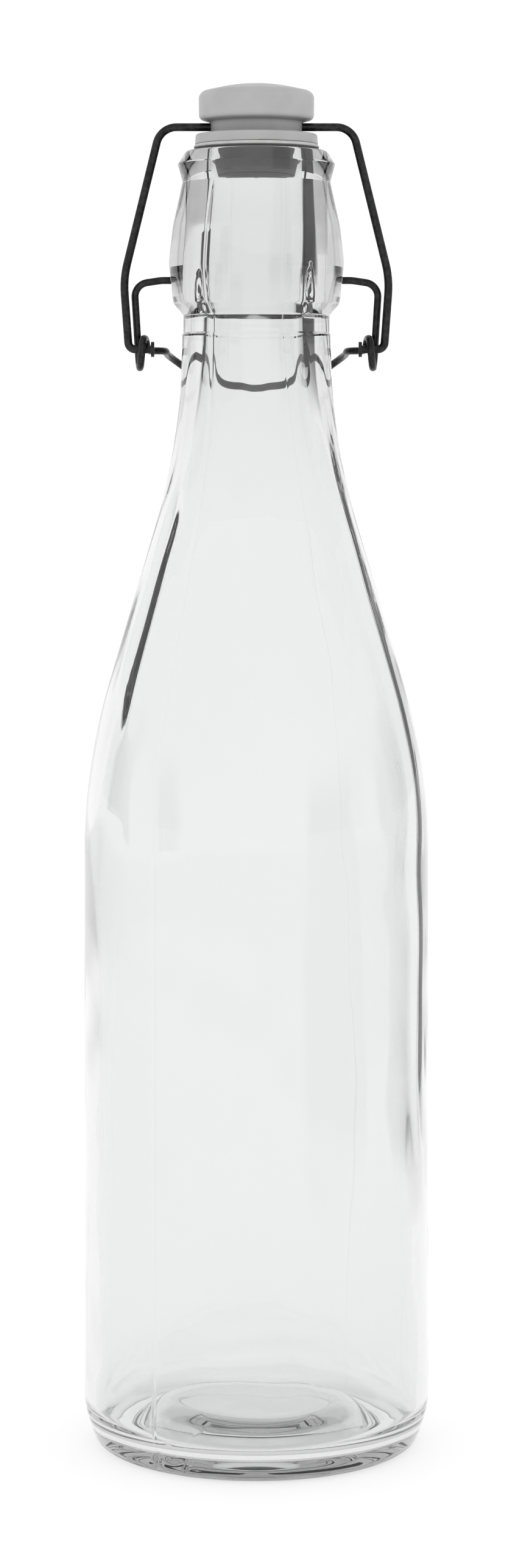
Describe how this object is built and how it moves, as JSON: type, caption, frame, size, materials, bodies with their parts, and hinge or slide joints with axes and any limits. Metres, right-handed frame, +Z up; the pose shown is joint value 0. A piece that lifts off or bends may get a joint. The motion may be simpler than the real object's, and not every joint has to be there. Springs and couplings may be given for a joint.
{
  "type": "swing-top bottle growler",
  "caption": "Clear glass growler with tapered shoulder and swing-top closure: lever and bail wires hold a plastic stopper and rubber gasket on the mouth.",
  "frame": {"origin": "centre of the base, on the surface that the bottle stands on", "axes": "+Z up along the bottle's axis; +X through the closure's pivots; the thumb handle lies behind, towards +Y"},
  "size_m": [0.085, 0.085, 0.3352],
  "materials": {
    "clear_glass": "clear, polished, faint mould seams",
    "steel_wire": "drawn spring-steel wire, dull zinc",
    "stopper_plastic": "satin, finely grained moulding",
    "gasket_rubber": "soft matt rubber"
  },
  "bodies": {
    "bottle": {"glass_bottle": "clear_glass"},
    "lever": {"lever_wire": "steel_wire"},
    "bail": {"bail_wire": "steel_wire"},
    "plug": {"stopper": "stopper_plastic", "gasket": "gasket_rubber"}
  },
  "joints": [
    {"name": "lever_pivot", "type": "hinge", "parent": "bottle", "child": "lever", "pos_m": [0, 0, 0.2866], "axis": [1, 0, 0], "range_deg": [0, 240]},
    {"name": "bail_pivot", "type": "hinge", "parent": "lever", "child": "bail", "pos_m": [0, -0.00185, 0.2695], "axis": [1, 0, 0], "range_deg": [-171.6, 0]},
    {"name": "stopper_pivot", "type": "hinge", "parent": "bail", "child": "plug", "pos_m": [0, 0, 0.3245], "axis": [1, 0, 0], "range_deg": [-68.4, 0]}
  ],
  "couplings": [
    {"joint": "bail_pivot", "follows": "lever_pivot", "ratio": -0.715},
    {"joint": "stopper_pivot", "follows": "lever_pivot", "ratio": -0.285}
  ]
}
